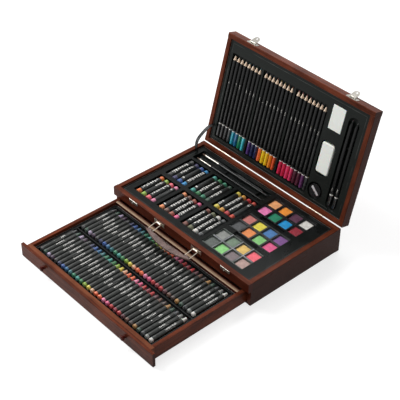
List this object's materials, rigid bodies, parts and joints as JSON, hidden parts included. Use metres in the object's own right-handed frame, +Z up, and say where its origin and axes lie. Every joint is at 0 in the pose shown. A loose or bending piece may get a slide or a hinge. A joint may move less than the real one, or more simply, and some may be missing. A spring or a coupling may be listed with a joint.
{
  "type": "pencil drawer box",
  "caption": "Wooden art case with a hinged lid of pencils, a fixed tray of pastels and paints, a pull-out drawer of crayons, two hasps and a carrying handle.",
  "frame": {"origin": "centre of the case's bottom face, on the surface that it stands on", "axes": "+Z up; -Y is the front, where the drawer pulls out and the handle is; +Y is the back, where the lid is hinged; +X is to the right seen from the front"},
  "size_m": [0.385, 0.5573, 0.2925],
  "materials": {
    "case_wood": "satin stained",
    "panel_wood": "satin stained, darker",
    "pale_wood": "bare",
    "tray_plastic": "thermoformed, slightly glossy",
    "palette_plastic": "moulded",
    "paint": "pressed powder, one colour per cake",
    "pastel_wax": "waxy, one colour per stick",
    "crayon_wax": "waxy, one colour per stick",
    "wrapper_paper": "printed black with pale marks",
    "brush_lacquer": "gloss lacquer",
    "nickel": "satin nickel",
    "brush_hair": "soft hair",
    "brass": "pale brass",
    "strap_ribbon": "woven ribbon",
    "grip_leather": "brown, glossy",
    "pencil_lacquer": "black lacquer",
    "pencil_wood": "bare sharpened",
    "pencil_lead": "one colour per pencil",
    "pencil_dip": "coloured lacquer, one colour per pencil",
    "eraser_rubber": "soft white",
    "sharpener_plastic": "moulded",
    "blade_steel": "brushed"
  },
  "bodies": {
    "case": {"case_left_side": "case_wood", "case_right_side": "case_wood", "case_back_wall": "case_wood", "case_front_rail": "case_wood", "case_bottom_panel": "panel_wood", "tray_shelf": "pale_wood", "upper_tray": "tray_plastic", "pastel_sticks": "pastel_wax", "pastel_wrappers": "wrapper_paper", "palette_front": "palette_plastic", "palette_middle": "palette_plastic", "palette_rear": "palette_plastic", "paint_cakes_front": "paint", "paint_cakes_middle": "paint", "paint_cakes_rear": "paint", "brush_handles": "brush_lacquer", "brush_ferrules": "nickel", "brush_bristles": "brush_hair", "hinge_case_leaves": "brass", "hinge_pins": "brass", "hinge_case_screws": "brass", "catch_plates": "nickel", "catch_screws": "nickel", "handle_eye_plates": "brass", "handle_plate_screws": "brass", "lid_strap": "strap_ribbon"},
    "lid": {"lid_left_side": "case_wood", "lid_right_side": "case_wood", "lid_front_rail": "case_wood", "lid_hinge_rail": "case_wood", "lid_top_panel": "panel_wood", "lid_tray": "tray_plastic", "pencil_barrels": "pencil_lacquer", "pencil_points": "pencil_wood", "pencil_leads": "pencil_lead", "pencil_dipped_ends": "pencil_dip", "sketch_pencils": "pencil_lacquer", "eraser_block": "eraser_rubber", "eraser_rounded": "eraser_rubber", "sharpener_body": "sharpener_plastic", "sharpener_blade": "blade_steel", "hinge_lid_leaves": "brass", "hinge_lid_screws": "brass", "latch_plates": "nickel", "latch_screws": "nickel"},
    "latch_left": {"latch_hasp_left": "nickel"},
    "latch_right": {"latch_hasp_right": "nickel"},
    "drawer": {"drawer_front_panel": "case_wood", "drawer_inner_front": "panel_wood", "drawer_left_side": "panel_wood", "drawer_right_side": "panel_wood", "drawer_back": "pale_wood", "drawer_bottom": "panel_wood", "drawer_tray": "tray_plastic", "crayon_sticks": "crayon_wax", "crayon_wrappers": "wrapper_paper", "drawer_knobs": "case_wood"},
    "ring_left": {"handle_ring_left": "brass"},
    "ring_right": {"handle_ring_right": "brass"},
    "grip": {"handle_grip": "grip_leather"}
  },
  "joints": [
    {"name": "lid_hinge", "type": "hinge", "parent": "case", "child": "lid", "pos_m": [0, 0.1206, 0.0543], "axis": [1, 0, 0], "range_deg": [0, 105], "deforming": ["lid_strap"]},
    {"name": "drawer_slide", "type": "slide", "parent": "case", "child": "drawer", "axis": [0, 1, 0], "range_m": [0, 0.222]},
    {"name": "latch_left_swing", "type": "hinge", "parent": "lid", "child": "latch_left", "pos_m": [-0.1305, 0.1904, 0.28738], "axis": [1, 0, 0], "range_deg": [0, 148]},
    {"name": "latch_right_swing", "type": "hinge", "parent": "lid", "child": "latch_right", "pos_m": [0.1305, 0.1904, 0.28738], "axis": [1, 0, 0], "range_deg": [0, 148]},
    {"name": "handle_ring_left_swing", "type": "hinge", "parent": "case", "child": "ring_left", "pos_m": [-0.0525, -0.1221, 0.0465], "axis": [-1, 0, 0], "range_deg": [0, 70]},
    {"name": "handle_ring_right_swing", "type": "hinge", "parent": "case", "child": "ring_right", "pos_m": [0.0525, -0.1221, 0.0465], "axis": [-1, 0, 0], "range_deg": [0, 70]},
    {"name": "handle_grip_swing", "type": "hinge", "parent": "ring_left", "child": "grip", "pos_m": [-0.0525, -0.14264, 0.04213], "axis": [-1, 0, 0], "range_deg": [0, 30]}
  ],
  "couplings": [
    {"joint": "handle_ring_right_swing", "follows": "handle_ring_left_swing", "ratio": 1}
  ]
}
